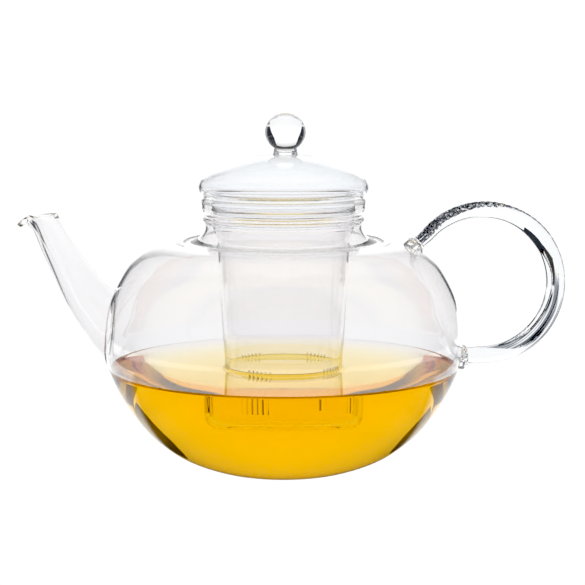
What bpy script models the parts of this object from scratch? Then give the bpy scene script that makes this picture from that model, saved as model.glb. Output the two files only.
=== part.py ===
"""Glass teapot: a round blown pot with a welded spout and a ridged rod handle, a slotted glass
infuser that hangs in its neck, and a domed lid with a ball knob.

Metres, +Z up. The pot's axis is the Z axis, its base rests on z = 0, the spout points to -X and the
handle to +X. Outlines are (radius, height) in millimetres.
"""

import math

import bmesh
import bpy
from mathutils import Matrix, Vector

MM = 0.001

# Driving dimensions
TURN_STEPS = 52  # facets round every turned piece
GAP = 0.3 * MM  # between pieces that touch
MERGE = 0.001 * MM  # points closer than this are one
SHARP_ANGLE = 35  # degrees: steeper edges stay sharp when shaded
WALL = 2.0  # pot and lid, in outline units
BULB_RADIUS = 85.7
BASE_RADIUS = 22.0
RIM_TOP = 123.2
COLLAR_TOP = 132.5
INFUSER_FLOOR = 37.0
INFUSER_BOTTOM = 35.3
LID_EDGE_RADIUS = 40.5
LID_TOP = 153.3

# Pot, from the edge of the flat base up
BULB_OUTLINE = (
    (BASE_RADIUS, 0.0),
    (36.2, 3.1),
    (52.4, 10.2),
    (65.6, 20.8),
    (77.0, 36.3),
    (84.2, 52.0),
    (BULB_RADIUS, 64.0),
    (83.5, 80.5),
    (75.8, 96.0),
    (62.6, 107.7),
    (48.4, 113.3),
)
NECK_OUTSIDE = (
    (43.4, 114.3),
    (39.9, 115.5),
    (37.9, 117.1),
    (37.3, 119.2),
    (37.7, 120.5),
    (38.7, 121.3),
    (39.0, 122.1),
    (38.6, 122.8),
    (37.8, RIM_TOP),
)
NECK_INSIDE = (
    (46.8, 111.6),
    (41.4, 112.5),
    (37.6, 113.9),
    (35.6, 116.2),
    (35.1, 118.4),
    (35.2, 120.4),
    (35.9, 122.2),
    (36.7, 123.0),
)
SMOOTHING = 2  # outline pieces between two points of the bulb

# Spout: stations from inside the pot's wall to the mouth, as (x, height, radius, lean).
# The lean is the angle in degrees by which a ring's front side hangs below its centre.
SPOUT_WALL = 1.8 * MM
SPOUT_STATIONS = (
    (-77.0, 67.2, 17.9, 60.0),
    (-82.0, 70.6, 16.6, 55.0),
    (-86.3, 74.1, 14.8, 46.0),
    (-91.4, 80.4, 12.9, 40.0),
    (-98.0, 90.2, 10.7, 36.0),
    (-105.2, 102.6, 8.8, 31.0),
    (-111.6, 114.2, 7.6, 20.0),
    (-116.2, 124.0, 7.0, 8.0),
)
SPOUT_RINGS = 24
SPOUT_SIDES = 25
SPOUT_SHARP_ANGLE = 60  # degrees: only the mouth has sharp edges
LIP_START = 0.88  # share of the spout's length where the drip lip begins to curl
LIP_REACH = 4.0 * MM
LIP_DROP = 3.8 * MM
LIP_SHARPNESS = 3  # a higher power makes the lip narrower
SPOUT_HOLE_RADIUS = 13.5 * MM
SPOUT_HOLE_SIDES = 32
SPOUT_HOLE_LENGTH = 40 * MM
SPOUT_HOLE_CENTRE = Vector((-84.0 * MM, 0, 70.0 * MM))
SPOUT_HOLE_TILT = 68.0  # degrees between the hole's axis and the pot's axis

# Handle: an open ring of rod in the plane y = 0, which runs straight to a weld at both ends
RING_CENTRE = Vector((96.2 * MM, 0, 91.6 * MM))
RING_RADIUS = 35.4 * MM
RING_START = 140.0  # degrees
RING_END = -88.0
UPPER_END = Vector((66.0 * MM, 0, 111.5 * MM))
LOWER_END = Vector((89.4 * MM, 0, 55.7 * MM))
ROD_RADII = ((140.0, 3.3), (115.0, 3.6), (80.0, 3.9), (30.0, 4.5), (-45.0, 4.6), (-88.0, 4.0))
UPPER_END_RADIUS = 3.0 * MM
LOWER_END_RADIUS = 3.8 * MM
RING_STEPS = 52
ROD_BEVEL_RESOLUTION = 3  # the rod has 4 * (this + 1) sides
RIDGES = 14
RIDGE_START = 139.5
RIDGE_PITCH = 6.55
GROOVE_RADIUS = 1.1 * MM
GROOVE_DEPTH = 0.9 * MM
GROOVE_LENGTH = 12 * MM
GROOVE_SIDES = 10

# Welds: (radius, distance along the rod's direction from the pot's surface)
UPPER_WELD = ((4.5, -3.0), (4.5, 0.9), (4.0, 2.0), (3.3, 3.4), (3.1, 4.4))
LOWER_WELD = ((5.4, -3.0), (5.4, 0.8), (4.9, 1.8), (4.2, 2.8), (4.0, 3.6))

# Infuser: outside from the rim down, then inside from the floor up
COLLAR_OUTSIDE = (
    (38.2, COLLAR_TOP),
    (39.1, 132.0),
    (39.4, 130.8),
    (39.1, 128.4),
    (38.3, 125.9),
    (37.4, 124.4),
    (36.2, 123.65),
    (35.0, 123.3),
    (34.2, 122.2),
    (34.0, 120.4),
    (33.8, 118.0),
    (33.0, 115.2),
    (32.2, 112.6),
    (31.8, 109.0),
)
BEAKER_OUTSIDE = (
    (30.2, 82.0),
    (28.8, 55.0),
    (28.5, 41.5),
    (27.8, 38.4),
    (26.0, 36.2),
    (23.4, INFUSER_BOTTOM),
)
BEAKER_INSIDE = (
    (22.8, INFUSER_FLOOR),
    (25.0, 37.7),
    (26.3, 39.4),
    (26.8, 41.8),
    (27.1, 55.0),
    (28.5, 82.0),
    (30.1, 109.0),
)
COLLAR_INSIDE = (
    (30.5, 113.1),
    (31.3, 115.8),
    (32.1, 118.4),
    (32.4, 120.8),
    (33.2, 122.6),
    (34.8, 124.2),
    (35.9, 126.5),
    (36.6, 129.2),
    (36.8, 131.2),
    (37.3, 132.2),
)
SLOT_GROUP_ANGLES = (53, 128, 190, 246, 325)  # degrees round the beaker, spaced by hand
SLOTS_IN_GROUP = 6
SLOT_PITCH = 4.5  # degrees
SLOT_SIZE = Vector((8.0, 0.7, 11.0)) * MM
SLOT_CENTRE = Vector((28.0, 0.0, 47.0)) * MM

# Lid: outside from the crown to the skirt's foot, then back up inside
LID_OUTSIDE = (
    (6.5, 153.1),
    (13.0, 152.3),
    (20.0, 150.6),
    (28.2, 147.2),
    (35.0, 143.2),
    (38.6, 140.9),
    (40.1, 139.0),
    (LID_EDGE_RADIUS, 137.0),
    (40.1, 134.8),
    (38.8, 133.3),
    (36.6, 132.85),
    (34.9, 132.5),
    (34.2, 131.4),
    (34.1, 126.0),
    (33.7, 125.0),
)
LID_INSIDE = (
    (32.6, 125.0),
    (32.1, 126.0),
    (32.0, 133.0),
    (32.9, 134.4),
    (36.6, 134.9),
    (38.1, 135.8),
    (38.5, 137.2),
    (37.6, 139.1),
    (33.9, 141.6),
    (27.2, 145.4),
    (19.4, 148.7),
    (12.5, 150.3),
    (6.2, 151.1),
)
KNOB_CENTRE = Vector((0.9, 0, 164.1)) * MM  # the ball sits a little off the axis
KNOB_RADIUS = 9.45 * MM
KNOB_FLATTENING = 0.965
KNOB_SIDES = 28
KNOB_RINGS = 16
STEM_OUTLINE = ((5.1, 157.0), (5.2, 155.6), (5.4, 154.6), (6.0, 153.8), (6.3, 153.6))

GLASS_TINT = (0.93, 0.96, 0.97)
GLASS_ROUGHNESS = 0.02
GLASS_IOR = 1.47


def clear_scene():
    for old in list(bpy.data.objects):
        bpy.data.objects.remove(old, do_unlink=True)


def new_collection(name):
    made = bpy.data.collections.new(name)
    bpy.context.scene.collection.children.link(made)
    return made


def glass(name):
    """Clear glass for one sub-part."""
    made = bpy.data.materials.new(name)
    made.use_nodes = True
    shader = made.node_tree.nodes["Principled BSDF"]
    shader.inputs["Base Color"].default_value = (*GLASS_TINT, 1)
    shader.inputs["Roughness"].default_value = GLASS_ROUGHNESS
    shader.inputs["Metallic"].default_value = 0
    shader.inputs["IOR"].default_value = GLASS_IOR
    shader.inputs["Transmission Weight"].default_value = 1
    made.diffuse_color = (*GLASS_TINT, 1)
    return made


def add_object(name, data, collection, material=None):
    made = bpy.data.objects.new(name, data)
    collection.objects.link(made)
    if material:
        data.materials.append(material)
    return made


def object_from(work, name, collection, material=None):
    """An object that holds a finished bmesh."""
    mesh = bpy.data.meshes.new(name)
    work.to_mesh(mesh)
    work.free()
    return add_object(name, mesh, collection, material)


def make_cutter(thing):
    """Hides a helper that only shapes other objects."""
    thing.hide_render = True
    thing.display_type = "WIRE"
    return thing


def shade_smooth(mesh, sharp_angle=SHARP_ANGLE):
    mesh.polygons.foreach_set("use_smooth", [True] * len(mesh.polygons))
    mesh.set_sharp_from_angle(angle=math.radians(sharp_angle))


def cut(thing, cutter):
    modifier = thing.modifiers.new(cutter.name, "BOOLEAN")
    modifier.operation = "DIFFERENCE"
    modifier.solver = "EXACT"
    modifier.object = cutter


def turned(name, outline, collection, material=None):
    """A solid of revolution round Z. The outline starts on the axis, runs down the outer side and
    ends on the axis.
    """
    mesh = bpy.data.meshes.new(name)
    points = [(radius * MM, 0, height * MM) for radius, height in outline]
    mesh.from_pydata(points, [(i, i + 1) for i in range(len(points) - 1)], [])
    made = add_object(name, mesh, collection, material)
    screw = made.modifiers.new("turn", "SCREW")
    screw.steps = TURN_STEPS
    screw.render_steps = TURN_STEPS
    screw.use_merge_vertices = True
    screw.merge_threshold = MERGE
    screw.use_smooth_shade = True
    return made


def curve_value(before, start, end, after, share):
    """A value on the smooth (Catmull-Rom) curve between start and end."""
    bend = 2 * before - 5 * start + 4 * end - after + share * (3 * (start - end) + after - before)
    return start + 0.5 * share * (end - before + share * bend)


def along_curve(points, place):
    """The point at a place between 0 and len(points) - 1 on a smooth curve through the points."""
    last = len(points) - 1
    index = min(int(place), last - 1)
    four = [points[max(0, min(last, index + k))] for k in (-1, 0, 1, 2)]
    return tuple(curve_value(*values, place - index) for values in zip(*four))


def smoothed(outline, pieces):
    count = (len(outline) - 1) * pieces
    return tuple(along_curve(outline, i / pieces) for i in range(count + 1))


def inset(outline, distance):
    """The other face of a wall: each point of a rising outline moved towards the axis."""
    moved = []
    for i, (radius, height) in enumerate(outline):
        before = outline[max(i - 1, 0)]
        after = outline[min(i + 1, len(outline) - 1)]
        along = Vector((after[0] - before[0], after[1] - before[1])).normalized()
        moved.append((radius - along.y * distance, height + along.x * distance))
    return tuple(moved)


def bulb_clearance(collection):
    """The bulb's outer shape, larger by the gap, which trims whatever is welded to it."""
    outline = inset(smoothed(BULB_OUTLINE, SMOOTHING), -GAP / MM)
    top = ((0.0, outline[-1][1]),)
    bottom = ((0.0, outline[0][1]),)
    return make_cutter(turned("bulb_clearance", top + outline[::-1] + bottom, collection))


def spout_hole(collection):
    """A round cutter through the pot's wall, inside the spout's foot."""
    work = bmesh.new()
    bmesh.ops.create_cone(
        work,
        cap_ends=True,
        segments=SPOUT_HOLE_SIDES,
        radius1=SPOUT_HOLE_RADIUS,
        radius2=SPOUT_HOLE_RADIUS,
        depth=SPOUT_HOLE_LENGTH,
    )
    hole = object_from(work, "spout_hole", collection)
    hole.location = SPOUT_HOLE_CENTRE
    hole.rotation_euler.y = -math.radians(SPOUT_HOLE_TILT)
    return make_cutter(hole)


def build_pot_body(parts, cutters):
    outside = smoothed(BULB_OUTLINE, SMOOTHING)
    inside = ((0.0, WALL),) + inset(outside, WALL)[1:-2] + NECK_INSIDE
    outline = inside + NECK_OUTSIDE[::-1] + outside[::-1] + ((0.0, 0.0),)
    body = turned("pot_body", outline, parts, glass("pot_glass"))
    cut(body, spout_hole(cutters))


def spout_point(along, turn):
    """A point of the spout's outer face, at a share of its length and an angle from its front."""
    x, height, radius, lean = along_curve(SPOUT_STATIONS, along * (len(SPOUT_STATIONS) - 1))
    forward = Vector((-math.cos(math.radians(lean)), 0, -math.sin(math.radians(lean))))
    sideways = Vector((0, 1, 0))
    ring = radius * MM * (math.cos(turn) * forward + math.sin(turn) * sideways)
    curl = max(0.0, (along - LIP_START) / (1 - LIP_START))
    front = max(0.0, math.cos(turn)) ** LIP_SHARPNESS
    lip = front * Vector((-LIP_REACH * curl**2, 0, -LIP_DROP * curl**3))
    return Vector((x * MM, 0, height * MM)) + ring + lip


def build_spout(parts, clearance):
    """A grid wrapped into a tapered tube, given its wall and trimmed where it meets the pot."""
    work = bmesh.new()
    bmesh.ops.create_grid(work, x_segments=SPOUT_RINGS, y_segments=SPOUT_SIDES, size=0.5)
    for corner in work.verts:
        corner.co = spout_point(corner.co.x + 0.5, (corner.co.y + 0.5) * math.tau)
    bmesh.ops.remove_doubles(work, verts=work.verts, dist=MERGE)
    spout = object_from(work, "spout", parts, glass("spout_glass"))
    shade_smooth(spout.data, SPOUT_SHARP_ANGLE)
    wall = spout.modifiers.new("wall", "SOLIDIFY")
    wall.thickness = SPOUT_WALL
    wall.offset = -1
    wall.use_even_offset = True
    cut(spout, clearance)


def ring_point(degrees, radius=RING_RADIUS):
    angle = math.radians(degrees)
    return RING_CENTRE + radius * Vector((math.cos(angle), 0, math.sin(angle)))


def rod_radius(degrees):
    """The rod's radius at an angle of the ring, between the sizes in ROD_RADII."""
    for (start, first), (end, second) in zip(ROD_RADII, ROD_RADII[1:]):
        if degrees >= end:
            share = (start - degrees) / (start - end)
            return (first + (second - first) * share) * MM
    return ROD_RADII[-1][1] * MM


def rod_path():
    """(point, radius) along the handle, from the upper weld to the lower one."""
    step = (RING_END - RING_START) / RING_STEPS
    angles = [RING_START + step * i for i in range(RING_STEPS + 1)]
    ring = [(ring_point(degrees), rod_radius(degrees)) for degrees in angles]
    return [(UPPER_END, UPPER_END_RADIUS), *ring, (LOWER_END, LOWER_END_RADIUS)]


def plain_rod():
    """The rod without its ridges, as a bmesh made from a curve with a round bevel."""
    curve = bpy.data.curves.new("rod", "CURVE")
    curve.dimensions = "3D"
    curve.bevel_depth = 1
    curve.bevel_resolution = ROD_BEVEL_RESOLUTION
    curve.use_fill_caps = True
    spline = curve.splines.new("POLY")
    path = rod_path()
    spline.points.add(len(path) - 1)
    for point, (place, radius) in zip(spline.points, path):
        point.co = (*place, 1)
        point.radius = radius
    rod = add_object("rod", curve, bpy.context.scene.collection)
    mesh = bpy.data.meshes.new_from_object(rod.evaluated_get(bpy.context.evaluated_depsgraph_get()))
    bpy.data.objects.remove(rod, do_unlink=True)
    work = bmesh.new()
    work.from_mesh(mesh)
    bmesh.ops.remove_doubles(work, verts=work.verts, dist=MERGE)
    return work


def ridge_grooves(collection):
    """A row of round bars that press the thumb ridges across the top of the rod."""
    work = bmesh.new()
    for i in range(RIDGES):
        degrees = RIDGE_START - RIDGE_PITCH * i
        bar = bmesh.ops.create_cone(
            work,
            cap_ends=True,
            segments=GROOVE_SIDES,
            radius1=GROOVE_RADIUS,
            radius2=GROOVE_RADIUS,
            depth=GROOVE_LENGTH,
        )["verts"]
        bmesh.ops.rotate(work, verts=bar, matrix=Matrix.Rotation(math.radians(90), 3, "X"))
        height = RING_RADIUS + rod_radius(degrees) + GROOVE_RADIUS - GROOVE_DEPTH
        bmesh.ops.translate(work, verts=bar, vec=ring_point(degrees, height))
    return make_cutter(object_from(work, "ridge_grooves", collection))


def build_handle(parts, cutters):
    handle = object_from(plain_rod(), "handle", parts, glass("handle_glass"))
    shade_smooth(handle.data)
    cut(handle, ridge_grooves(cutters))


def build_weld(name, outline, rod_end, next_point, parts, clearance):
    """A turned lump of glass between the pot and one end of the rod."""
    outwards = (next_point - rod_end).normalized()
    top = ((0.0, outline[-1][1]),)
    foot = ((0.0, outline[0][1]),)
    weld = turned(name, top + outline[::-1] + foot, parts, glass(name + "_glass"))
    weld.location = rod_end - outwards * (outline[-1][1] * MM + GAP)
    weld.rotation_mode = "QUATERNION"
    weld.rotation_quaternion = outwards.to_track_quat("Z", "Y")
    cut(weld, clearance)


def slot_blades(collection):
    """Thin upright blades that saw the slots through the beaker's wall."""
    work = bmesh.new()
    for group in SLOT_GROUP_ANGLES:
        for i in range(SLOTS_IN_GROUP):
            angle = group + SLOT_PITCH * (i - (SLOTS_IN_GROUP - 1) / 2)
            blade = bmesh.ops.create_cube(work, size=1)["verts"]
            bmesh.ops.scale(work, verts=blade, vec=SLOT_SIZE)
            bmesh.ops.translate(work, verts=blade, vec=SLOT_CENTRE)
            turn = Matrix.Rotation(math.radians(angle), 3, "Z")
            bmesh.ops.rotate(work, verts=blade, matrix=turn)
    return make_cutter(object_from(work, "slot_blades", collection))


def build_infuser(parts, cutters):
    inside = ((0.0, INFUSER_FLOOR),) + BEAKER_INSIDE + COLLAR_INSIDE
    outside = COLLAR_OUTSIDE + BEAKER_OUTSIDE + ((0.0, INFUSER_BOTTOM),)
    infuser = turned("infuser", inside + outside, parts, glass("infuser_glass"))
    cut(infuser, slot_blades(cutters))


def ball(name, radius, collection, material=None):
    work = bmesh.new()
    bmesh.ops.create_uvsphere(work, u_segments=KNOB_SIDES, v_segments=KNOB_RINGS, radius=radius)
    made = object_from(work, name, collection, material)
    shade_smooth(made.data)
    made.location = KNOB_CENTRE
    made.scale.z = KNOB_FLATTENING
    return made


def build_lid(parts, cutters):
    outside = ((0.0, LID_TOP),) + LID_OUTSIDE
    inside = LID_INSIDE + ((0.0, LID_TOP - WALL),)
    turned("lid_cover", outside + inside, parts, glass("lid_glass"))
    ball("lid_knob", KNOB_RADIUS, parts, glass("knob_glass"))
    top = ((0.0, STEM_OUTLINE[0][1]),)
    foot = ((0.0, STEM_OUTLINE[-1][1]),)
    stem = turned("lid_knob_stem", top + STEM_OUTLINE + foot, parts, glass("knob_stem_glass"))
    stem.location.x = KNOB_CENTRE.x
    cut(stem, make_cutter(ball("knob_seat", KNOB_RADIUS + GAP, cutters)))


def main():
    clear_scene()
    parts = new_collection("glass_teapot")
    cutters = new_collection("cutters")
    clearance = bulb_clearance(cutters)
    build_pot_body(parts, cutters)
    build_spout(parts, clearance)
    build_handle(parts, cutters)
    build_weld("handle_upper_weld", UPPER_WELD, UPPER_END, ring_point(RING_START), parts, clearance)
    build_weld("handle_lower_weld", LOWER_WELD, LOWER_END, ring_point(RING_END), parts, clearance)
    build_infuser(parts, cutters)
    build_lid(parts, cutters)


main()
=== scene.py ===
"""Looks for the clear glass teapot: every piece again as fine smooth glass, the tea inside, and a
bright studio round it.

Metres, +Z up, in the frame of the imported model. Outlines are (radius, height) in millimetres, and run
within two millimetres of the part's own. The glass is about 1 mm thick, thinner than the part's.
"""

import math

import bmesh
import bpy
from mathutils import Matrix, Vector, noise

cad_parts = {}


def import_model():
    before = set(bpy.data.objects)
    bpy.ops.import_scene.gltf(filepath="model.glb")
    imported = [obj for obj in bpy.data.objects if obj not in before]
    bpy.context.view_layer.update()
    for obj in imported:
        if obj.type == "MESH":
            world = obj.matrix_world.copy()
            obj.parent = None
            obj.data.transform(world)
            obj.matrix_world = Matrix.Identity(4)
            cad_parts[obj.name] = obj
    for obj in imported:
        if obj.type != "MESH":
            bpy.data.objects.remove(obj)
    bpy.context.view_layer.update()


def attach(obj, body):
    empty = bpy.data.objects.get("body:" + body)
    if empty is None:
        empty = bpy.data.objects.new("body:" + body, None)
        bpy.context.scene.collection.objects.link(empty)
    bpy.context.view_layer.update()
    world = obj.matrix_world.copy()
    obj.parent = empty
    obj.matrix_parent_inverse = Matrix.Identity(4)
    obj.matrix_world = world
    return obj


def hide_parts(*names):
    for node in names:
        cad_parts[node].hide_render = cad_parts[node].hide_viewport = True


MM = 0.001

# Camera: what the photograph's perspective gives for this size of pot
CAMERA_PLACE = Vector((0.0043, -0.888, 0.206))
CAMERA_TILT = 82.34  # degrees from straight down
CAMERA_LENS = 113.85  # mm, on a 36 mm sensor

# Fineness of the meshes
TURN_STEPS = 256
SMOOTHING = 6  # outline pieces between two of its points
TEA_SMOOTHING = 12
TEA_SURFACE_STEPS = 40
KNOB_SUBDIVISIONS = 6
SHARP_ANGLE = 40  # degrees
MERGE = 0.001 * MM

# Pot
WALL = 1.0  # mm
BASE_RADIUS = 22.0
BULB_OUTLINE = (
    (BASE_RADIUS, 0.0),
    (36.5, 2.5),
    (52.9, 9.5),
    (66.2, 20.2),
    (77.7, 36.0),
    (85.0, 51.8),
    (86.5, 64.1),
    (84.2, 80.9),
    (76.4, 97.0),
    (70.0, 103.9),
    (64.0, 107.7),
    (58.0, 110.1),
    (52.5, 111.4),
    (49.6, 111.8),
)
NECK_OUTSIDE = (
    (48.6, 111.85),
    (47.0, 111.6),
    (44.4, 111.9),
    (41.7, 113.1),
    (39.3, 115.0),
    (38.0, 117.2),
    (37.7, 119.0),
    (37.9, 120.4),
    (38.4, 121.4),
    (38.8, 122.2),
    (38.6, 122.9),
    (37.7, 123.3),
)
NECK_INSIDE = (
    (48.3, 110.85),
    (45.8, 111.0),
    (43.2, 111.45),
    (40.6, 112.5),
    (38.4, 114.4),
    (37.0, 117.0),
    (36.7, 119.1),
    (36.8, 120.9),
    (36.9, 121.9),
    (37.0, 122.8),
)

# Spout
SPOUT_WALL = 2.4 * MM  # at its thickest, on the front of the lip
SPOUT_WALL_SHARE = 0.42  # of that elsewhere
SPOUT_RIM_SHARE = 0.6  # of that round the mouth's rim
SPOUT_RIM_START = 0.92
THICKENING_STATION = 3  # of the stations below, where the front wall starts to thicken
SPOUT_STATIONS = (  # (x, height, radius, lean in degrees) from the pot's wall to the mouth, in mm
    (-77.0, 67.2, 17.9, 60.0),
    (-82.0, 70.6, 16.6, 55.0),
    (-86.3, 74.1, 14.8, 46.0),
    (-91.4, 80.4, 12.9, 40.0),
    (-98.0, 90.2, 10.7, 36.0),
    (-105.2, 102.6, 8.8, 31.0),
    (-111.6, 114.2, 7.6, 20.0),
    (-116.2, 124.0, 7.0, 8.0),
)
SPOUT_RINGS = 120
SPOUT_SIDES = 96
SPOUT_IN_WALL = 0.3  # mm below the bulb's outer face, where the spout's foot is cut off
MELTED_EDGE = 0.6 * MM
MELTED_EDGE_SEGMENTS = 4
MELTED_EDGE_ANGLE = 60  # degrees
LIP_START = 0.88  # share of the spout's length
LIP_REACH = 3.4 * MM
LIP_REACH_POWER = 2
LIP_DROP = 4.8 * MM
LIP_DROP_POWER = 4
LIP_SHARPNESS = 3
SPOUT_HOLE_RADIUS = 13.5 * MM
SPOUT_HOLE_CENTRE = Vector((-84.0 * MM, 0, 70.0 * MM))
SPOUT_HOLE_TILT = 68.0  # degrees
SPOUT_HOLE_SIDES = 96
SPOUT_HOLE_LENGTH = 40 * MM

# Handle: an open ring of rod. Its tables give (angle round the ring from +X in degrees, value)
RING_CENTRE = Vector((96.2 * MM, 0, 91.6 * MM))
RING_RADIUS = 35.4 * MM
RING_START = 140.0
RING_END = -88.0
UPPER_END = Vector((66.0 * MM, 0, 111.5 * MM))
LOWER_END = Vector((89.4 * MM, 0, 55.7 * MM))
ROD_RADII = ((140.0, 3.3), (115.0, 3.6), (80.0, 3.9), (30.0, 4.5), (-45.0, 4.6), (-88.0, 4.0))  # mm
UPPER_END_RADIUS = 3.0 * MM
LOWER_END_RADIUS = 3.8 * MM
ROD_RINGS = 720
ROD_SIDES = 96
RIDGES = 23
RIDGE_START = 139.5
RIDGE_PITCH = 5.0
RIDGE_ROUNDNESS = 0.995  # share of a half circle that each ridge's section goes round
RIDGE_SLANT = 0.35  # in ridges, between the rod's middle and its outer side
RIDGE_DEPTH = 0.6  # share of the rod's half thickness
RIDGE_ROUGHNESS = 1.1  # of the half thickness: the tool's irregular marks between the ridges
ROUGHNESS_SCALE = 700.0  # per metre
RIDGE_EDGE_DEPTH = 0.09  # share of its half width
RIDGE_REACH = ((140.0, -0.5), (115.0, -0.1), (90.0, 0.25), (45.0, 0.75))  # inner limit of the ridges
RIDGE_REACH_EDGE = 0.35  # over which the marks fade in, as a share of the rod's radius
RIDGE_FADE = ((140.0, 1.0), (80.0, 0.9), (40.0, 0.35), (25.0, 0.0))
# The rod's section is a thick outer part and a thin fin on the inner side, with a slope between
INNER_RIM = 0.15  # widths of the rounded edges and the slope, as shares of the rod's radius
OUTER_RIM = 0.6
FIN_SLOPE = ((5.0, 0.62), (-45.0, 0.85), (-88.0, 0.62))
FIN_WIDTH = ((60.0, 0.0), (35.0, 0.12), (5.0, 0.6), (-40.0, 0.4), (-66.0, 0.2), (-86.0, 0.0))
FIN_THICKNESS = ((75.0, 1.0), (40.0, 0.6), (15.0, 0.28), (-66.0, 0.24), (-88.0, 0.45))
ROD_THICKNESS = (
    (140.0, 0.9),
    (110.0, 0.75),
    (80.0, 0.5),
    (45.0, 0.5),
    (5.0, 1.05),
    (-45.0, 1.3),
    (-88.0, 1.0),
)

# Welds: (radius, distance along the rod's direction) in mm
WELD_LUMPS = 420.0  # the noise's scale, per metre
WELD_LUMPINESS = 0.45  # share of the weld's radius
UPPER_WELD = ((4.5, -3.0), (4.5, 0.9), (4.0, 2.0), (3.3, 3.4), (3.1, 4.4))
LOWER_WELD = ((5.4, -3.0), (5.4, 0.8), (4.9, 1.8), (4.2, 2.8), (4.0, 3.6))

# Infuser
INFUSER_BOTTOM = 35.3
INFUSER_FLOOR = 37.2
INFUSER_OUTSIDE = (
    (38.2, 132.9),
    (39.2, 132.5),
    (39.7, 131.5),
    (39.5, 130.3),
    (39.4, 128.6),
    (39.2, 126.8),
    (38.5, 125.2),
    (37.3, 124.05),
    (36.1, 123.6),
    (35.0, 123.3),
    (34.2, 122.2),
    (34.0, 120.4),
    (33.8, 118.0),
    (33.0, 115.2),
    (32.2, 112.6),
    (31.85, 109.0),
    (31.65, 105.5),
    (30.3, 82.0),
    (28.95, 58.5),
    (28.75, 55.0),
    (28.5, 44.0),
    (28.4, 41.5),
    (27.8, 38.4),
    (26.0, 36.2),
    (23.4, INFUSER_BOTTOM),
)
INFUSER_INSIDE = (
    (23.0, INFUSER_FLOOR),
    (24.7, 38.0),
    (26.1, 39.7),
    (26.5, 41.5),
    (26.7, 44.0),
    (27.3, 55.0),
    (27.7, 58.5),
    (29.35, 82.0),
    (30.7, 105.5),
    (30.9, 109.0),
    (31.25, 112.8),
    (32.05, 115.5),
    (32.85, 118.1),
    (33.05, 120.5),
    (33.3, 122.5),
    (34.4, 124.0),
    (35.7, 124.55),
    (36.8, 125.0),
    (37.6, 125.7),
    (38.15, 126.9),
    (38.4, 128.7),
    (38.4, 130.6),
    (38.0, 131.9),
)
SLOT_GROUP_ANGLES = (53, 128, 190, 246, 325)  # degrees round the beaker, given one by one
SLOTS_IN_GROUP = 6
SLOT_PITCH = 4.5
SLOT_SIZE = Vector((8.0, 0.7, 11.0)) * MM
SLOT_CENTRE = Vector((28.0, 0.0, 47.0)) * MM

# Lid
LID_TOP = 153.3
LID_OUTSIDE = (
    (6.5, 153.1),
    (13.0, 152.55),
    (20.0, 151.1),
    (27.0, 148.8),
    (33.0, 146.0),
    (37.3, 143.4),
    (39.4, 141.7),
    (40.5, 139.8),
    (40.8, 137.6),
    (40.4, 135.6),
    (39.4, 134.3),
    (38.0, 133.6),
    (36.2, 133.0),
    (34.9, 132.0),
    (34.5, 130.4),
    (34.4, 128.2),
    (34.8, 127.2),
    (34.7, 126.1),
    (33.9, 125.3),
)
LID_INSIDE = (
    (33.0, 125.4),
    (32.4, 126.3),
    (32.8, 127.4),
    (33.4, 128.6),
    (33.5, 130.8),
    (34.0, 132.7),
    (35.4, 133.9),
    (37.3, 134.7),
    (38.7, 135.6),
    (39.4, 136.6),
    (39.7, 137.8),
    (39.5, 139.4),
    (38.6, 140.9),
    (36.7, 142.4),
    (32.6, 144.9),
    (26.7, 147.6),
    (19.8, 149.9),
    (12.9, 151.4),
    (6.4, 152.1),
)
KNOB_CENTRE = Vector((0.9, 0, 164.1)) * MM
KNOB_RADIUS = 9.75 * MM
KNOB_FLATTENING = 0.935  # height as a share of its width
STEM_OUTLINE = (
    (2.5, 155.25),
    (4.4, 155.85),
    (5.4, 156.3),
    (5.5, 155.6),
    (5.6, 154.6),
    (5.8, 153.8),
    (6.0, 153.3),
)
STEM_TOP = 154.95

# Tea, in mm
TEA_LEVEL = 49.9
TEA_IN_WALL = 0.5  # below the bulb's outer face: the tea runs into the wall, so that no air shows between
TEA_CUP_RADIUS = 28.1  # of the infuser where it dips into the tea
MENISCUS = 1.6
MENISCUS_REACH = 3.0
MENISCUS_FALL = 2.2  # how fast it falls within its reach

# Optics. A tint is what gets through a piece of glass on its way in and out
GLASS_IOR = 1.47
BLOWN_TINT = (0.987, 0.983, 0.989)
INFUSER_TINT = (0.997, 0.993, 0.994)
LID_TINT = (0.962, 0.974, 0.988)
DRAWN_TINT = (0.985, 0.99, 0.995)
RIDGED_TINT = (0.97, 0.985, 1.0)
BLOWN_RIPPLES = (45, 0.003 * MM)  # the noise's scale, per metre, and its depth
DRAWN_RIPPLES = (220, 0.03 * MM)
RIPPLE_STRETCH = (1, 1, 0.35)
RIPPLE_DETAIL = 2
# Painted shade on the handle rod: dark grey laid into the glass's colour where the rod refracts dark
# surroundings, in grains along its crimped outer side
ROD_PAINTED_SHADE = (0.09, 0.1, 0.12, 1)
RIDGE_SHADE_ANGLES = (40, 135)  # of the ring, from where the painted shade is a thin line to where it is widest
RIDGE_SHADE_LIMITS = (3.6, -0.8)  # mm from the rod's centre line
PAINTED_SHADE_EDGE = 0.5 * MM
RIDGE_SHADE_GRAIN = 900.0
RIDGE_SHADE_GRAIN_ENDS = (0.36, 0.5)
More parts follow.
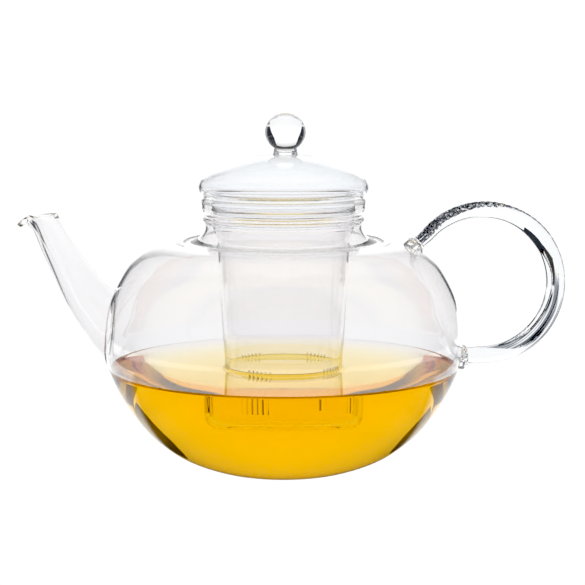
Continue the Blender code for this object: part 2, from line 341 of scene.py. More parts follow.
# A streak of painted shade inside the rod's lower half, laid where the rod refracts dark surroundings
SHADE_STREAK_ANGLES = (-88, -45)  # of the ring: between them each side of the streak moves from its first
SHADE_STREAK_INNER = (-4.6, -2.8)  # place to its second, in mm from the rod's centre line
SHADE_STREAK_OUTER = (-3.8, 2.0)
SHADE_STREAK_TOP = (-35, 25)  # of the ring, between which the streak narrows to nothing
SHADE_STREAK_NARROWING = 2.7  # mm
SHADE_STREAK_GRAIN = 1500.0
SHADE_STREAK_GRAIN_ENDS = (0.42, 0.52)
CALM_HEIGHTS = (0.096, 0.106)  # heights between which the glass turns from rippled to nearly smooth
CALM_SHARE = 0.15
TEA_IOR = 1.333
TEA_COLOUR = (1.0, 0.906, 0.47, 1)
TEA_DENSITY = 45.0
SURFACE_TILT = 0.5  # the tea's free surface faces up at least this much, as the normal's height
FREE_SURFACE_DEPTH = 1.0  # mm below the level, where the free surface ends

# Studio, in metres and degrees
PAPER_PLACE = Vector((-0.02, 0, -0.0002))
PAPER_STRENGTH = 1.13
PAPER = (  # (y, height, half width) from its front edge to its top
    (0.0, 0.0, 0.19),
    (0.10, 0.0, 0.225),
    (0.22, 0.0, 0.27),
    (0.32, 0.0, 0.31),
    (0.355, 0.04, 0.31),
    (0.36, 0.09, 0.264),
    (0.36, 0.13, 0.238),
    (0.36, 0.20, 0.19),
    (0.36, 0.25, 0.167),
    (0.36, 0.40, 0.165),
)
PAPER_FADE = (  # (height, brightness)
    (0.0, 0.915),
    (0.06, 0.925),
    (0.11, 1.0),
    (0.24, 1.0),
    (0.28, 0.97),
    (0.32, 0.85),
    (0.37, 0.71),
    (0.40, 0.3),
)
PAPER_HEIGHT = 0.40
# What the glass mirrors of the paper is dark beyond CARD_START from the middle and above CARD_FOOT,
# and in front of CARD_FRONT
CARD_START = (0.10, 0.20)
CARD_FOOT = 0.06
CARD_FRONT = 0.025
FLOOR_SIZE = 1.5
FLOOR_DROP = 0.0005  # below the pot's foot
FLOOR_LIT_FROM = (0.40, 0.46)  # from the middle: a ring of floor is white all round from here
FLOOR_LIT_TO = (0.56, 0.64)  # and to here
GAP_END = (50, 60)  # from straight behind the pot: dark between the paper and here
LAMPS_TOP = (22, 42)  # above the horizon: where the light at the sides and in front fades out
GLINT_END = (45, 75)  # from straight behind: what the glass reflects, not bends, is lit up to here
STUDIO_DARK = (0.08, 0.084, 0.094, 1)
STUDIO_LIGHT = (0.55, 0.55, 0.56, 1)
WHITE = (1, 1, 1, 1)
DEEP_BENDS = 2.5  # faces passed: mirrored light that has passed more also sees the lit sides
BLACK_LEVEL = 0.06
WHITE_LEVEL = 0.985
LIGHT_BOUNCES = 40
GLOSSY_BOUNCES = 24

SIDEWAYS = Vector((0, 1, 0))


# Numbers


def clear_of(value, low, high):
    """0 below low, 1 above high, and a straight ramp between."""
    return min(1.0, max(0.0, (value - low) / (high - low)))


def radians(angles):
    return [math.radians(angle) for angle in angles]


# Meshes


def add_object(name, data):
    made = bpy.data.objects.new(name, data)
    bpy.context.scene.collection.objects.link(made)
    return made


def object_from(work, name):
    mesh = bpy.data.meshes.new(name)
    work.to_mesh(mesh)
    work.free()
    return add_object(name, mesh)


def smooth_and_fixed(thing):
    """Applies the modifiers, then shades the mesh smooth with its real edges kept sharp."""
    graph = bpy.context.evaluated_depsgraph_get()
    mesh = bpy.data.meshes.new_from_object(thing.evaluated_get(graph))
    thing.modifiers.clear()
    thing.data = mesh
    mesh.transform(thing.matrix_world)
    thing.matrix_world = Matrix.Identity(4)
    mesh.polygons.foreach_set("use_smooth", [True] * len(mesh.polygons))
    mesh.set_sharp_from_angle(angle=math.radians(SHARP_ANGLE))
    return thing


def curve_value(before, start, end, after, share):
    """A value on the smooth (Catmull-Rom) curve between start and end."""
    bend = 2 * before - 5 * start + 4 * end - after + share * (3 * (start - end) + after - before)
    return start + 0.5 * share * (end - before + share * bend)


def along_curve(points, place):
    """The point at a place between 0 and len(points) - 1 on a smooth curve through the points."""
    last = len(points) - 1
    index = min(int(place), last - 1)
    four = [points[max(0, min(last, index + k))] for k in (-1, 0, 1, 2)]
    return tuple(curve_value(*values, place - index) for values in zip(*four))


def smoothed(outline, pieces=SMOOTHING):
    count = (len(outline) - 1) * pieces
    return tuple(along_curve(outline, i / pieces) for i in range(count + 1))


def inset(outline, distance):
    """Each point of a rising outline moved towards the axis, square to the outline."""
    moved = []
    for i, (radius, height) in enumerate(outline):
        before = outline[max(i - 1, 0)]
        after = outline[min(i + 1, len(outline) - 1)]
        along = Vector((after[0] - before[0], after[1] - before[1])).normalized()
        moved.append((radius - along.y * distance, height + along.x * distance))
    return tuple(moved)


def turned(name, outline):
    """A solid of revolution round Z. The outline runs down the outer side, from axis to axis."""
    mesh = bpy.data.meshes.new(name)
    points = [(radius * MM, 0, height * MM) for radius, height in outline]
    mesh.from_pydata(points, [(i, i + 1) for i in range(len(points) - 1)], [])
    made = add_object(name, mesh)
    screw = made.modifiers.new("turn", "SCREW")
    screw.steps = TURN_STEPS
    screw.render_steps = TURN_STEPS
    screw.use_merge_vertices = True
    screw.merge_threshold = MERGE
    screw.use_smooth_shade = True
    return made


def cut(thing, cutter):
    """Takes the cutter out of the thing, and removes the cutter."""
    modifier = thing.modifiers.new("cut", "BOOLEAN")
    modifier.operation = "DIFFERENCE"
    modifier.solver = "EXACT"
    modifier.object = cutter
    bpy.context.view_layer.update()
    smooth_and_fixed(thing)
    bpy.data.objects.remove(cutter, do_unlink=True)


def spout_hole():
    """A cutter through the pot's wall, inside the spout's foot."""
    work = bmesh.new()
    bmesh.ops.create_cone(
        work,
        cap_ends=True,
        segments=SPOUT_HOLE_SIDES,
        radius1=SPOUT_HOLE_RADIUS,
        radius2=SPOUT_HOLE_RADIUS,
        depth=SPOUT_HOLE_LENGTH,
    )
    hole = object_from(work, "spout_hole")
    hole.location = SPOUT_HOLE_CENTRE
    hole.rotation_euler.y = -math.radians(SPOUT_HOLE_TILT)
    return hole


def make_pot():
    outside = smoothed(BULB_OUTLINE + NECK_OUTSIDE)
    bulb = smoothed(BULB_OUTLINE)
    inside = inset(bulb, WALL)[:-SMOOTHING]
    before = (inside[-1 - SMOOTHING], inside[-1])
    neck = smoothed(before + NECK_INSIDE + (NECK_OUTSIDE[-1],))[SMOOTHING:]
    outline = ((0.0, WALL),) + inside + neck[1:] + outside[::-1][1:] + ((0.0, 0.0),)
    pot = turned("pot_glass_body", outline)
    cut(pot, spout_hole())
    return pot


def spout_point(along, turn):
    """A point of the spout's outer face, at a share of its length and an angle from its front."""
    x, height, radius, lean = along_curve(SPOUT_STATIONS, along * (len(SPOUT_STATIONS) - 1))
    forward = Vector((-math.cos(math.radians(lean)), 0, -math.sin(math.radians(lean))))
    ring = radius * MM * (math.cos(turn) * forward + math.sin(turn) * SIDEWAYS)
    curl = max(0.0, (along - LIP_START) / (1 - LIP_START))
    front = max(0.0, math.cos(turn)) ** LIP_SHARPNESS
    lip = front * Vector((-LIP_REACH * curl**LIP_REACH_POWER, 0, -LIP_DROP * curl**LIP_DROP_POWER))
    return Vector((x * MM, 0, height * MM)) + ring + lip


def pot_filling(depth):
    """A turned solid that fills the bulb up to a depth below its outer face."""
    outline = inset(smoothed(BULB_OUTLINE), depth)
    top = (0.0, outline[-1][1])
    bottom = (0.0, outline[0][1])
    return turned("filling", (top,) + outline[::-1] + (bottom,))


def spout_wall_share(place):
    """The wall's thickness at a place, as a share of its thickest: most on the front of the lip."""
    start_x, start_height = SPOUT_STATIONS[THICKENING_STATION][:2]
    mouth_x, mouth_height, mouth_radius = SPOUT_STATIONS[-1][:3]
    along = clear_of(place.z, start_height * MM, mouth_height * MM)
    middle = mouth_x + (start_x - mouth_x) * (1 - along)
    front = clear_of(middle * MM - place.x, 0.0, mouth_radius * MM)
    rim = SPOUT_RIM_SHARE * clear_of(along, SPOUT_RIM_START, 1.0)
    return max(SPOUT_WALL_SHARE + (1 - SPOUT_WALL_SHARE) * front * along, rim)


def make_spout():
    work = bmesh.new()
    bmesh.ops.create_grid(work, x_segments=SPOUT_RINGS, y_segments=SPOUT_SIDES, size=0.5)
    for corner in work.verts:
        corner.co = spout_point(corner.co.x + 0.5, (corner.co.y + 0.5) * math.tau)
    bmesh.ops.remove_doubles(work, verts=work.verts, dist=MERGE)
    spout = object_from(work, "spout_glass_tube")
    thickness = spout.vertex_groups.new(name="thickness")
    for corner in spout.data.vertices:
        thickness.add([corner.index], spout_wall_share(corner.co), "REPLACE")
    wall = spout.modifiers.new("wall", "SOLIDIFY")
    wall.thickness = SPOUT_WALL
    wall.vertex_group = "thickness"
    wall.offset = -1
    wall.use_even_offset = True
    edge = spout.modifiers.new("melted_edge", "BEVEL")
    edge.width = MELTED_EDGE
    edge.segments = MELTED_EDGE_SEGMENTS
    edge.limit_method = "ANGLE"
    edge.angle_limit = math.radians(MELTED_EDGE_ANGLE)
    cut(spout, pot_filling(SPOUT_IN_WALL))
    return spout


def outward_at(degrees):
    angle = math.radians(degrees)
    return Vector((math.cos(angle), 0, math.sin(angle)))


def ring_point(degrees):
    return RING_CENTRE + RING_RADIUS * outward_at(degrees)


def round_the_ring(values, degrees):
    """A value that changes softly between the given angles of the ring."""
    for (start, first), (end, second) in zip(values, values[1:]):
        if degrees >= end:
            share = clear_of(start - degrees, 0, start - end)
            share = share * share * (3 - 2 * share)
            return first + (second - first) * share
    return values[-1][1]


def rod_stations():
    """(centre, radius, ring angle) from end to end of the handle."""
    stations = [(UPPER_END, UPPER_END_RADIUS, RING_START)]
    for i in range(ROD_RINGS + 1):
        degrees = RING_START + (RING_END - RING_START) * i / ROD_RINGS
        stations.append((ring_point(degrees), round_the_ring(ROD_RADII, degrees) * MM, degrees))
    stations.append((LOWER_END, LOWER_END_RADIUS, RING_END))
    return stations


def half_thickness(degrees, outwards):
    """Half the rod's thickness at a place between its inner (-1) and outer (1) side."""
    rim = INNER_RIM if outwards < 0 else OUTER_RIM
    rounded = math.sqrt(1 - clear_of(abs(outwards), 1 - rim, 1) ** 2)
    fin = round_the_ring(FIN_THICKNESS, degrees)
    start = round_the_ring(FIN_WIDTH, degrees) - 1
    body = fin + (1 - fin) * clear_of(outwards, start, start + round_the_ring(FIN_SLOPE, degrees))
    return rounded * body * round_the_ring(ROD_THICKNESS, degrees)


def groove(degrees, outwards):
    """How far the crimped rod is pressed in, from 0 on a ridge's crest to 1 between two ridges."""
    place = (RIDGE_START - degrees) / RIDGE_PITCH + RIDGE_SLANT * outwards
    if not -0.5 < place < RIDGES - 0.5:
        return 0.0
    off_crest = 2 * abs(place - round(place))
    return 1 - math.sqrt(1 - min(off_crest, RIDGE_ROUNDNESS) ** 2)


def section_point(degrees, turn):
    """(outwards, across) of the rod's outline, as shares of its radius."""
    outwards = math.cos(turn)
    thickness = half_thickness(degrees, outwards)
    pressed = groove(degrees, outwards)
    limit = round_the_ring(RIDGE_REACH, degrees)
    marked = clear_of(outwards, limit, limit + RIDGE_REACH_EDGE) * round_the_ring(RIDGE_FADE, degrees)
    along_rod = RING_RADIUS * math.radians(degrees)
    spot = Vector((along_rod, outwards * ROD_RADII[0][1] * MM, math.sin(turn) * MM))
    mark = RIDGE_ROUGHNESS * marked * noise.noise(spot * ROUGHNESS_SCALE)
    across = math.copysign(thickness * (1 - RIDGE_DEPTH * pressed * marked + mark), math.sin(turn))
    return outwards * (1 - RIDGE_EDGE_DEPTH * pressed * marked), across


def make_handle():
    """A swept rod: rings of points round its centre line, with a flat face at both ends."""
    work = bmesh.new()
    rings = []
    for centre, radius, degrees in rod_stations():
        ring = []
        for i in range(ROD_SIDES):
            outwards, across = section_point(degrees, math.tau * (i + 0.5) / ROD_SIDES)
            offset = outwards * outward_at(degrees) + across * SIDEWAYS
            ring.append(work.verts.new(centre + radius * offset))
        rings.append(ring)
    for ring, following in zip(rings, rings[1:]):
        for i in range(ROD_SIDES):
            j = (i + 1) % ROD_SIDES
            work.faces.new((ring[i], ring[j], following[j], following[i]))
    work.faces.new(rings[0][::-1])
    work.faces.new(rings[-1])
    bmesh.ops.recalc_face_normals(work, faces=work.faces)
    return smooth_and_fixed(object_from(work, "handle_glass_rod"))


def make_weld(name, outline, rod_end, next_point):
    """A lumpy turned piece of glass between the pot and one end of the rod."""
    outwards = (next_point - rod_end).normalized()
    body = smoothed(outline[1:])
    top = (0.0, body[-1][1])
    bottom = (0.0, outline[0][1])
    weld = smooth_and_fixed(turned(name, (top,) + body[::-1] + (outline[0], bottom)))
    for corner in weld.data.vertices:
        lump = 1 + WELD_LUMPINESS * noise.noise(corner.co * WELD_LUMPS)
        corner.co.x *= lump
        corner.co.y *= lump
    weld.location = rod_end - outwards * (outline[-1][1] * MM)
    weld.rotation_mode = "QUATERNION"
    weld.rotation_quaternion = outwards.to_track_quat("Z", "Y")
    bpy.context.view_layer.update()
    cut(weld, pot_filling(0.0))
    return weld


def slot_blades():
    """Cutters for the groups of narrow slots low in the infuser's wall."""
    work = bmesh.new()
    for group in SLOT_GROUP_ANGLES:
        for i in range(SLOTS_IN_GROUP):
            angle = group + SLOT_PITCH * (i - (SLOTS_IN_GROUP - 1) / 2)
            blade = bmesh.ops.create_cube(work, size=1)["verts"]
            bmesh.ops.scale(work, verts=blade, vec=SLOT_SIZE)
            bmesh.ops.translate(work, verts=blade, vec=SLOT_CENTRE)
            turn = Matrix.Rotation(math.radians(angle), 3, "Z")
            bmesh.ops.rotate(work, verts=blade, matrix=turn)
    return object_from(work, "slot_blades")


def make_infuser():
    outline = smoothed(INFUSER_INSIDE + INFUSER_OUTSIDE)
    infuser = turned("infuser_glass_cup", ((0.0, INFUSER_FLOOR),) + outline + ((0.0, INFUSER_BOTTOM),))
    cut(infuser, slot_blades())
    return infuser


def make_lid():
    outline = smoothed(LID_OUTSIDE + LID_INSIDE)
    lid = turned("lid_glass_dome", ((0.0, LID_TOP),) + outline + ((0.0, LID_TOP - WALL),))
    return smooth_and_fixed(lid)


def make_knob():
    work = bmesh.new()
    bmesh.ops.create_icosphere(work, subdivisions=KNOB_SUBDIVISIONS, radius=KNOB_RADIUS)
    knob = object_from(work, "knob_glass_ball")
    knob.location = KNOB_CENTRE
    knob.scale.z = KNOB_FLATTENING
    bpy.context.view_layer.update()
    return smooth_and_fixed(knob)


def make_stem():
    outline = smoothed(((0.0, STEM_TOP),) + STEM_OUTLINE) + ((0.0, STEM_OUTLINE[-1][1]),)
    stem = turned("knob_glass_stem", outline)
    stem.location.x = KNOB_CENTRE.x
    bpy.context.view_layer.update()
    return smooth_and_fixed(stem)


def rise(distance):
    """How high the tea climbs a wall at a distance from it."""
    return MENISCUS * math.exp(-distance / MENISCUS_REACH * MENISCUS_FALL)


def tea_surface(edge):
    """The free surface from near the pot's wall in to the axis, drawn up at both walls."""
    cup = TEA_CUP_RADIUS
    surface = []
    for i in range(1, TEA_SURFACE_STEPS + 1):
        radius = edge - (edge - cup) * (0.5 - 0.5 * math.cos(math.pi * i / TEA_SURFACE_STEPS))
        height = TEA_LEVEL + rise(edge - TEA_IN_WALL - radius) + rise(radius - cup)
        surface.append((radius, min(height, TEA_LEVEL + MENISCUS)))
    for i in range(1, TEA_SURFACE_STEPS):
        radius = cup * (0.5 + 0.5 * math.cos(math.pi * i / TEA_SURFACE_STEPS))
        surface.append((radius, TEA_LEVEL + rise(cup - radius)))
    surface.append((0.0, TEA_LEVEL))
    return tuple(surface)


def make_tea():
    """What fills the bulb up to the level."""
    bulb = inset(smoothed(BULB_OUTLINE, TEA_SMOOTHING), TEA_IN_WALL)
    wall = tuple(point for point in bulb if point[1] < TEA_LEVEL + MENISCUS)
    outline = tea_surface(wall[-1][0])[::-1] + wall[::-1] + ((0.0, wall[0][1]),)
    return smooth_and_fixed(turned("tea", outline))


# Materials


def new_material(name):
    made = bpy.data.materials.new(name)
    made.use_nodes = True
    made.node_tree.nodes.clear()
    return made, made.node_tree.nodes, made.node_tree.links


def math_node(nodes, links, operation, first, second=None):
    node = nodes.new("ShaderNodeMath")
    node.operation = operation
    for socket, value in zip(node.inputs, (first, second)):
        if value is None:
            continue
        if isinstance(value, (int, float)):
            socket.default_value = value
        else:
            links.new(value, socket)
    return node.outputs[0]


def position(nodes):
    return nodes.new("ShaderNodeNewGeometry").outputs["Position"]


def parts_of(nodes, links, vector):
    """The X, Y and Z outputs of a vector."""
    parts = nodes.new("ShaderNodeSeparateXYZ")
    links.new(vector, parts.inputs[0])
    return parts.outputs


def material_output(nodes, links, surface, volume=None):
    out = nodes.new("ShaderNodeOutputMaterial")
    links.new(surface, out.inputs["Surface"])
    if volume:
        links.new(volume, out.inputs["Volume"])


def shader_mix(nodes, links, share, first, second):
    mix = nodes.new("ShaderNodeMixShader")
    for socket, value in zip(mix.inputs, (share, first, second)):
        links.new(value, socket)
    return mix.outputs[0]


def colour_mix(nodes, links, share, first, second):
    mix = nodes.new("ShaderNodeMix")
    mix.data_type = "RGBA"
    links.new(share, mix.inputs["Factor"])
    for socket, value in zip(mix.inputs[6:8], (first, second)):
        if isinstance(value, tuple):
            socket.default_value = value
        else:
            links.new(value, socket)
    return mix.outputs[2]


def soft_step(nodes, links, value, ends, low=0.0, high=1.0):
    """Low before the first of two ends, high after the second, and a soft step between."""
    step = nodes.new("ShaderNodeMapRange")
    step.interpolation_type = "SMOOTHSTEP"
    for name, number in zip(("From Min", "From Max", "To Min", "To Max"), (*ends, low, high)):
        step.inputs[name].default_value = number
    links.new(value, step.inputs["Value"])
    return step.outputs[0]


def glass_surface(nodes, links, ior, tint, normal=None):
    """Smooth clear glass or liquid. The tint is a colour or another node's output."""
    shader = nodes.new("ShaderNodeBsdfPrincipled")
    if isinstance(tint, tuple):
        shader.inputs["Base Color"].default_value = (*tint, 1)
    else:
        links.new(tint, shader.inputs["Base Color"])
    shader.inputs["Roughness"].default_value = 0.0
    shader.inputs["IOR"].default_value = ior
    shader.inputs["Transmission Weight"].default_value = 1.0
    if normal:
        links.new(normal, shader.inputs["Normal"])
    return shader.outputs[0]


def ripple_normal(nodes, links, scale, depth):
    """The faint waviness of blown glass: soft noise, drawn out along the axis and calmer high up."""
    place = nodes.new("ShaderNodeTexCoord").outputs["Object"]
    stretch = nodes.new("ShaderNodeMapping")
    stretch.inputs["Scale"].default_value = RIPPLE_STRETCH
    links.new(place, stretch.inputs["Vector"])
    waves = nodes.new("ShaderNodeTexNoise")
    waves.inputs["Scale"].default_value = scale
    waves.inputs["Detail"].default_value = RIPPLE_DETAIL
    links.new(stretch.outputs[0], waves.inputs["Vector"])
    height = parts_of(nodes, links, place)["Z"]
    bump = nodes.new("ShaderNodeBump")
    links.new(soft_step(nodes, links, height, CALM_HEIGHTS, 1.0, CALM_SHARE), bump.inputs["Strength"])
    bump.inputs["Distance"].default_value = depth
    links.new(waves.outputs[0], bump.inputs["Height"])
    return bump.outputs[0]


def noise_share(nodes, links, vector, scale, ends):
    """0 to 1 in soft patches of noise."""
    grain = nodes.new("ShaderNodeTexNoise")
    grain.inputs["Scale"].default_value = scale
    links.new(vector, grain.inputs["Vector"])
    return soft_step(nodes, links, grain.outputs[0], ends)


def rod_with_painted_shade(nodes, links, tint):
    """The rod's colour: clear, with painted shade in grains along its outer side where it is crimped, and
    a streak of painted shade inside its lower half: dark grey laid where the rod refracts dark
    surroundings.
    """
    def node(operation, first, second=None):
        return math_node(nodes, links, operation, first, second)

    from_centre = nodes.new("ShaderNodeVectorMath")
    from_centre.operation = "SUBTRACT"
    links.new(nodes.new("ShaderNodeTexCoord").outputs["Object"], from_centre.inputs[0])
    from_centre.inputs[1].default_value = RING_CENTRE
    spot = from_centre.outputs[0]
    parts = parts_of(nodes, links, spot)
    angle = node("ARCTAN2", parts["Z"], parts["X"])
    squares = [node("POWER", node("ABSOLUTE", parts[axis]), 2.0) for axis in "XZ"]
    distance = node("SQRT", node("ADD", *squares))

    def limit(angles, ends):
        radii = [RING_RADIUS + end * MM for end in ends]
        return soft_step(nodes, links, angle, radians(angles), *radii)

    def outside(inner):
        return soft_step(nodes, links, node("SUBTRACT", distance, inner), (0.0, PAINTED_SHADE_EDGE))

    # painted shade in grains along the crimped outer side
    grains = noise_share(nodes, links, spot, RIDGE_SHADE_GRAIN, RIDGE_SHADE_GRAIN_ENDS)
    ridges = node("MULTIPLY", outside(limit(RIDGE_SHADE_ANGLES, RIDGE_SHADE_LIMITS)), grains)
    # a streak of painted shade inside the lower half
    along = nodes.new("ShaderNodeCombineXYZ")
    links.new(node("MULTIPLY", distance, SHADE_STREAK_GRAIN), along.inputs["X"])
    links.new(angle, along.inputs["Y"])
    lines = noise_share(nodes, links, along.outputs[0], 1.0, SHADE_STREAK_GRAIN_ENDS)
    narrowing = soft_step(nodes, links, angle, radians(SHADE_STREAK_TOP), 0.0, SHADE_STREAK_NARROWING * MM)
    past_inner_side = outside(node("ADD", limit(SHADE_STREAK_ANGLES, SHADE_STREAK_INNER), narrowing))
    past_outer_side = outside(node("SUBTRACT", limit(SHADE_STREAK_ANGLES, SHADE_STREAK_OUTER), narrowing))
    between = node("MULTIPLY", past_inner_side, node("SUBTRACT", 1.0, past_outer_side))
    streak = node("MULTIPLY", between, lines)
    return colour_mix(nodes, links, node("MAXIMUM", ridges, streak), (*tint, 1), ROD_PAINTED_SHADE)


def glass_material(name, tint, ripples, painted_shade=False, wet_below=None):
    """Clear glass that lets lamps through. Below wet_below it stands in tea, so it bends light less."""
    made, nodes, links = new_material(name)
    # the rod's colour with painted shade
    if painted_shade:
        tint = rod_with_painted_shade(nodes, links, tint)
    normal = ripple_normal(nodes, links, *ripples)
    surface = glass_surface(nodes, links, GLASS_IOR, tint, normal)
    if wet_below:
        wet = glass_surface(nodes, links, GLASS_IOR / TEA_IOR, tint, normal)
        height = parts_of(nodes, links, position(nodes))["Z"]
        under = math_node(nodes, links, "LESS_THAN", height, wet_below)
        surface = shader_mix(nodes, links, under, surface, wet)
    shadow = nodes.new("ShaderNodeLightPath").outputs["Is Shadow Ray"]
    through = nodes.new("ShaderNodeBsdfTransparent").outputs[0]
    material_output(nodes, links, shader_mix(nodes, links, shadow, surface, through))
    return made


def blown_glass():
    return glass_material("blown_glass", BLOWN_TINT, BLOWN_RIPPLES)


def infuser_glass():
    return glass_material("infuser_glass", INFUSER_TINT, BLOWN_RIPPLES, wet_below=TEA_LEVEL * MM)


def lid_glass():
    return glass_material("lid_glass_blue", LID_TINT, BLOWN_RIPPLES)


def drawn_glass():
    return glass_material("drawn_glass", DRAWN_TINT, DRAWN_RIPPLES)


def ridged_glass():
    # its colour carries painted shade along the crimped side and in the lower half
    return glass_material("ridged_glass", RIDGED_TINT, DRAWN_RIPPLES, painted_shade=True)


def tea_material():
    """Absorbing liquid. Its free surface mirrors and bends light, and where the pot's glass holds it
    light only bends.
    """
    made, nodes, links = new_material("tea")
    free = glass_surface(nodes, links, TEA_IOR, (1, 1, 1))
    held = nodes.new("ShaderNodeBsdfRefraction")
    held.inputs["IOR"].default_value = TEA_IOR
    held.inputs["Roughness"].default_value = 0.0
    normal = nodes.new("ShaderNodeNewGeometry").outputs["True Normal"]
    tilt = math_node(nodes, links, "ABSOLUTE", parts_of(nodes, links, normal)["Z"])
    level = math_node(nodes, links, "GREATER_THAN", tilt, SURFACE_TILT)
    height = parts_of(nodes, links, position(nodes))["Z"]
    high = math_node(nodes, links, "GREATER_THAN", height, (TEA_LEVEL - FREE_SURFACE_DEPTH) * MM)
    on_top = math_node(nodes, links, "MULTIPLY", level, high)
    absorb = nodes.new("ShaderNodeVolumeAbsorption")
    absorb.inputs["Color"].default_value = TEA_COLOUR
    absorb.inputs["Density"].default_value = TEA_DENSITY
    surface = shader_mix(nodes, links, on_top, held.outputs[0], free)
    material_output(nodes, links, surface, absorb.outputs[0])
    return made


# Studio


def seen_in_mirror(nodes, links, path):
    """1 for light that some piece of glass has mirrored on its way to the camera, else 0."""
    return math_node(nodes, links, "GREATER_THAN", path.outputs["Glossy Depth"], 0.5)


def studio_light(nodes, links, place):
    """Brightness of the studio seen from the pot, away from the paper, for light in a direction or
    from a place. White for the camera itself. Light that the glass bends finds it dark beside the
    paper and lit at the sides and in front. Light that the glass mirrors finds it lit behind, and
    the lit sides too after passing several faces.
    """
    def node(operation, first, second=None):
        return math_node(nodes, links, operation, first, second)

    path = nodes.new("ShaderNodeLightPath")
    unit = nodes.new("ShaderNodeVectorMath")
    unit.operation = "NORMALIZE"
    links.new(place, unit.inputs[0])
    parts = parts_of(nodes, links, unit.outputs[0])
    turn = node("ARCTAN2", node("ABSOLUTE", parts["X"]), parts["Y"])
    height = node("ARCSINE", parts["Z"])
    beside = soft_step(nodes, links, turn, radians(GAP_END))
    low = soft_step(nodes, links, height, radians(LAMPS_TOP[::-1]))
    mirrored = seen_in_mirror(nodes, links, path)
    deep = node("GREATER_THAN", path.outputs["Transmission Depth"], DEEP_BENDS)
    seen = node("MAXIMUM", node("SUBTRACT", 1.0, mirrored), deep)
    sides = node("MULTIPLY", node("MULTIPLY", beside, low), seen)
    behind = node("MULTIPLY", soft_step(nodes, links, turn, radians(GLINT_END[::-1])), mirrored)
    lit = node("MAXIMUM", sides, behind)
    brightness = colour_mix(nodes, links, lit, STUDIO_DARK, STUDIO_LIGHT)
    return colour_mix(nodes, links, path.outputs["Is Camera Ray"], brightness, WHITE)


def make_world():
    world = bpy.data.worlds.new("studio")
    bpy.context.scene.world = world
    world.use_nodes = True
    nodes, links = world.node_tree.nodes, world.node_tree.links
    nodes.clear()
    direction = nodes.new("ShaderNodeTexCoord").outputs["Generated"]
    light = nodes.new("ShaderNodeBackground")
    links.new(studio_light(nodes, links, direction), light.inputs["Color"])
    out = nodes.new("ShaderNodeOutputWorld")
    links.new(light.outputs[0], out.inputs["Surface"])


def floor_material():
    made, nodes, links = new_material("floor")
    place = position(nodes)
    length = nodes.new("ShaderNodeVectorMath")
    length.operation = "LENGTH"
    links.new(place, length.inputs[0])
    distance = length.outputs["Value"]
    past_start = soft_step(nodes, links, distance, FLOOR_LIT_FROM)
    before_end = soft_step(nodes, links, distance, FLOOR_LIT_TO, 1.0, 0.0)
    ring = math_node(nodes, links, "MULTIPLY", past_start, before_end)
    light = nodes.new("ShaderNodeEmission")
    colour = colour_mix(nodes, links, ring, studio_light(nodes, links, place), WHITE)
    links.new(colour, light.inputs["Color"])
    material_output(nodes, links, light.outputs[0])
    return made


def make_floor():
    work = bmesh.new()
    bmesh.ops.create_grid(work, x_segments=8, y_segments=8, size=FLOOR_SIZE)
    floor = object_from(work, "floor")
    floor.location.z = -FLOOR_DROP
    floor.data.materials.append(floor_material())


def fade_by_height(nodes, links, height):
    """The paper's brightness, which falls off towards its top."""
    fade = nodes.new("ShaderNodeValToRGB")
    links.new(math_node(nodes, links, "DIVIDE", height, PAPER_HEIGHT), fade.inputs[0])
    stops = fade.color_ramp.elements
    for place, _ in PAPER_FADE[1:-1]:
        stops.new(place / PAPER_HEIGHT)
    for stop, (_, brightness) in zip(stops, PAPER_FADE):
        stop.color = (brightness, brightness, brightness, 1)
    return fade.outputs[0]


def paper_material():
    """Lit white paper that glass mirrors as dark cards at its sides and along its front."""
    made, nodes, links = new_material("paper")
    parts = parts_of(nodes, links, position(nodes))
    mirrored = seen_in_mirror(nodes, links, nodes.new("ShaderNodeLightPath"))
    sideways = math_node(nodes, links, "ABSOLUTE", parts["X"])
    side = soft_step(nodes, links, sideways, CARD_START)
    raised = math_node(nodes, links, "GREATER_THAN", parts["Z"], CARD_FOOT)
    front = soft_step(nodes, links, parts["Y"], (0.0, CARD_FRONT), 1.0, 0.0)
    card = math_node(nodes, links, "MAXIMUM", math_node(nodes, links, "MULTIPLY", side, raised), front)
    card = math_node(nodes, links, "MULTIPLY", card, mirrored)
    light = nodes.new("ShaderNodeEmission")
    white = fade_by_height(nodes, links, parts["Z"])
    links.new(colour_mix(nodes, links, card, white, STUDIO_DARK), light.inputs["Color"])
    light.inputs["Strength"].default_value = PAPER_STRENGTH
    material_output(nodes, links, light.outputs[0])
    return made


def make_paper():
    """The lit white sheet that the pot stands on and that sweeps up behind it. The camera looks
    through it, so it can film the pot from every side.
    """
    work = bmesh.new()
    rows = []
    for y, height, half_width in smoothed(PAPER):
        rows.append([work.verts.new((side * half_width, y, max(0.0, height))) for side in (-1, 1)])
    for row, following in zip(rows, rows[1:]):
        work.faces.new((row[0], row[1], following[1], following[0]))
    paper = object_from(work, "paper")
    paper.location = PAPER_PLACE
    paper.visible_camera = False
    paper.data.materials.append(paper_material())


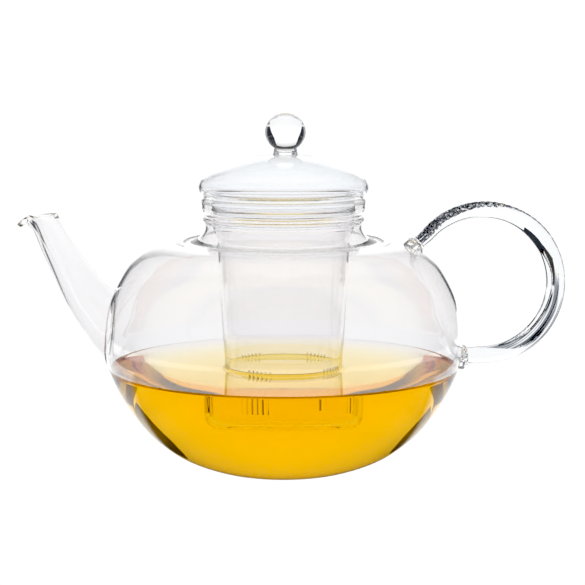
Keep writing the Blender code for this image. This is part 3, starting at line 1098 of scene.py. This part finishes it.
def make_camera():
    data = bpy.data.cameras.new("camera")
    data.lens = CAMERA_LENS
    data.sensor_width = 36
    camera = add_object("camera", data)
    camera.location = CAMERA_PLACE
    camera.rotation_euler = (math.radians(CAMERA_TILT), 0, 0)
    bpy.context.scene.camera = camera


def set_look():
    scene = bpy.context.scene
    scene.view_settings.view_transform = "Standard"
    scene.view_settings.use_curve_mapping = True
    scene.view_settings.curve_mapping.black_level = (BLACK_LEVEL,) * 3
    scene.view_settings.curve_mapping.white_level = (WHITE_LEVEL,) * 3
    scene.view_settings.curve_mapping.update()
    scene.cycles.max_bounces = LIGHT_BOUNCES
    scene.cycles.transmission_bounces = LIGHT_BOUNCES
    scene.cycles.glossy_bounces = GLOSSY_BOUNCES
    scene.cycles.transparent_max_bounces = GLOSSY_BOUNCES
    scene.cycles.caustics_reflective = True
    scene.cycles.caustics_refractive = True


# The whole


def add_piece(piece, body, node, material):
    """Gives a piece its look and its body, and hides the CAD node that it stands for, if there is one."""
    piece.data.materials.clear()
    piece.data.materials.append(material)
    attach(piece, body)
    if node:
        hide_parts(node)


def add_pot(solid):
    thin = blown_glass()
    add_piece(make_pot(), "pot", "pot_body", thin)
    add_piece(make_spout(), "pot", "spout", thin)
    add_piece(make_handle(), "pot", "handle", ridged_glass())
    upper = make_weld("upper_weld_glass", UPPER_WELD, UPPER_END, ring_point(RING_START))
    lower = make_weld("lower_weld_glass", LOWER_WELD, LOWER_END, ring_point(RING_END))
    add_piece(upper, "pot", "handle_upper_weld", solid)
    add_piece(lower, "pot", "handle_lower_weld", solid)


def add_lid(solid):
    add_piece(make_lid(), "lid", "lid_cover", lid_glass())
    add_piece(make_knob(), "lid", "lid_knob", solid)
    add_piece(make_stem(), "lid", "lid_knob_stem", solid)


def main():
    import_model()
    solid = drawn_glass()
    add_pot(solid)
    add_piece(make_infuser(), "infuser", "infuser", infuser_glass())
    add_lid(solid)
    add_piece(make_tea(), "pot", None, tea_material())
    make_world()
    make_floor()
    make_paper()
    make_camera()
    set_look()


main()
